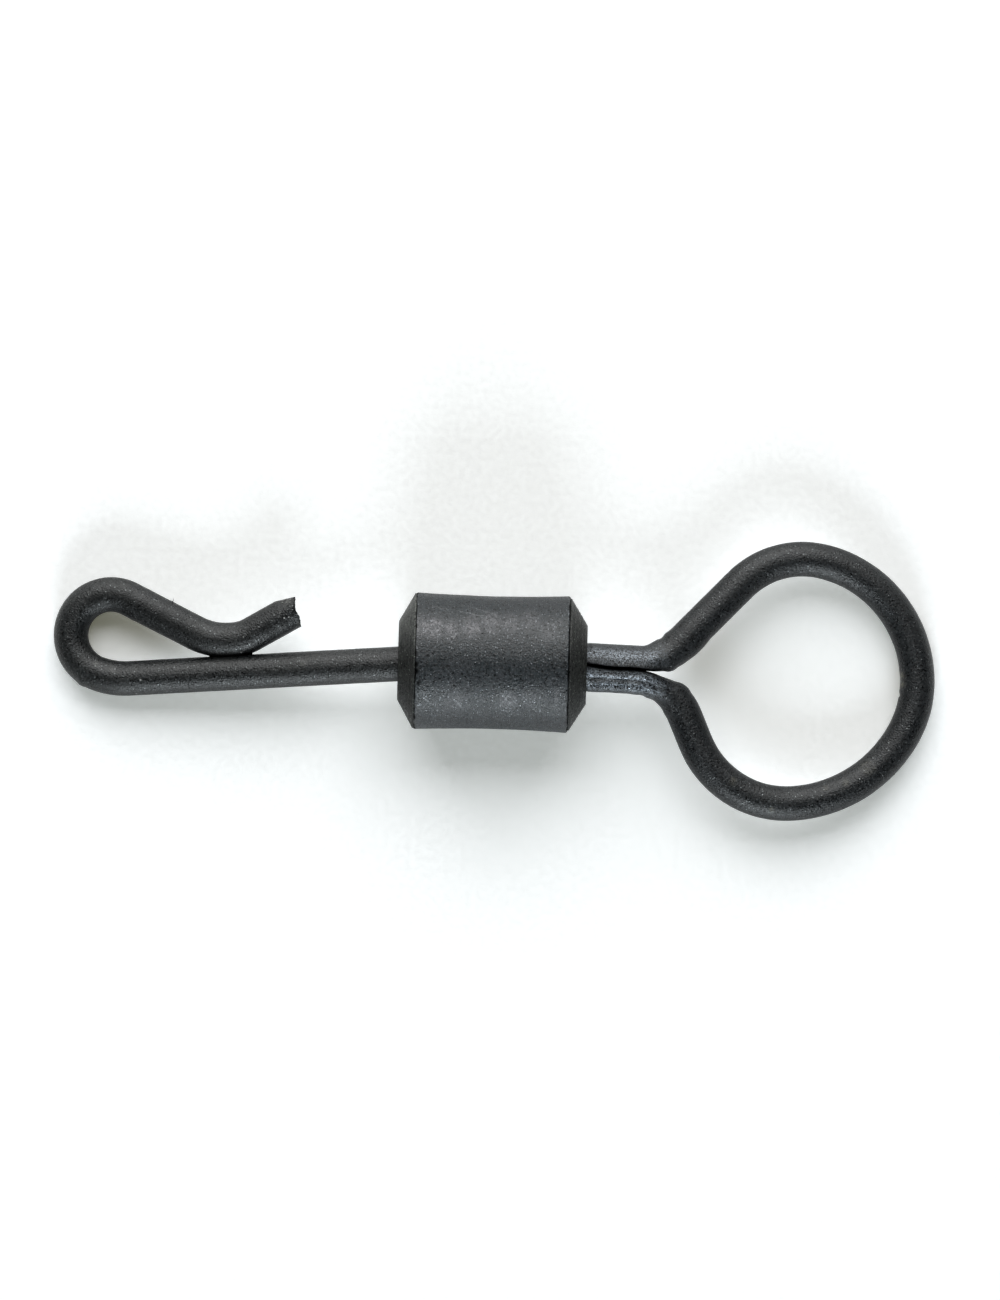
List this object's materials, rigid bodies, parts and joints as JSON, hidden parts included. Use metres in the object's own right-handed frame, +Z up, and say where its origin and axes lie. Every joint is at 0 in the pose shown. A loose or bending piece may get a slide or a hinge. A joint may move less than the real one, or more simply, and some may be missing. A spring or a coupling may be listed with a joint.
{
  "type": "chod swivel",
  "caption": "Rolling barrel swivel with a spring-closed quick-change hook at one end and a large round ring at the other, black coated.",
  "frame": {"origin": "middle of the part's length and width, on the surface that the barrel's two rims and the far ends of the hook and the ring rest on", "axes": "+X along the barrel from the hook towards the ring, +Z up, away from the surface the part lies on; the hook's return leg is on the +Y side of its shank"},
  "size_m": [0.022, 0.007, 0.0034],
  "materials": {
    "sleeve_coating": "satin black coating, slightly mottled and scuffed",
    "bush_coating": "matte black coating over turned metal",
    "wire_coating": "satin black coating on drawn wire"
  },
  "bodies": {
    "barrel": {"barrel_sleeve": "sleeve_coating", "hook_end_bush": "bush_coating", "ring_end_bush": "bush_coating"},
    "hook": {"quick_change_hook": "wire_coating"},
    "ring": {"big_ring": "wire_coating"}
  },
  "joints": [
    {"name": "hook_spin", "type": "hinge", "parent": "barrel", "child": "hook", "pos_m": [-0.00196, 0.00022, 0.0017], "axis": [0.9859, 0.0793, 0.1472], "continuous": true},
    {"name": "ring_spin", "type": "hinge", "parent": "barrel", "child": "ring", "pos_m": [0.00184, 0.00024, 0.0017], "axis": [0.9892, -0.0268, -0.144], "continuous": true}
  ]
}
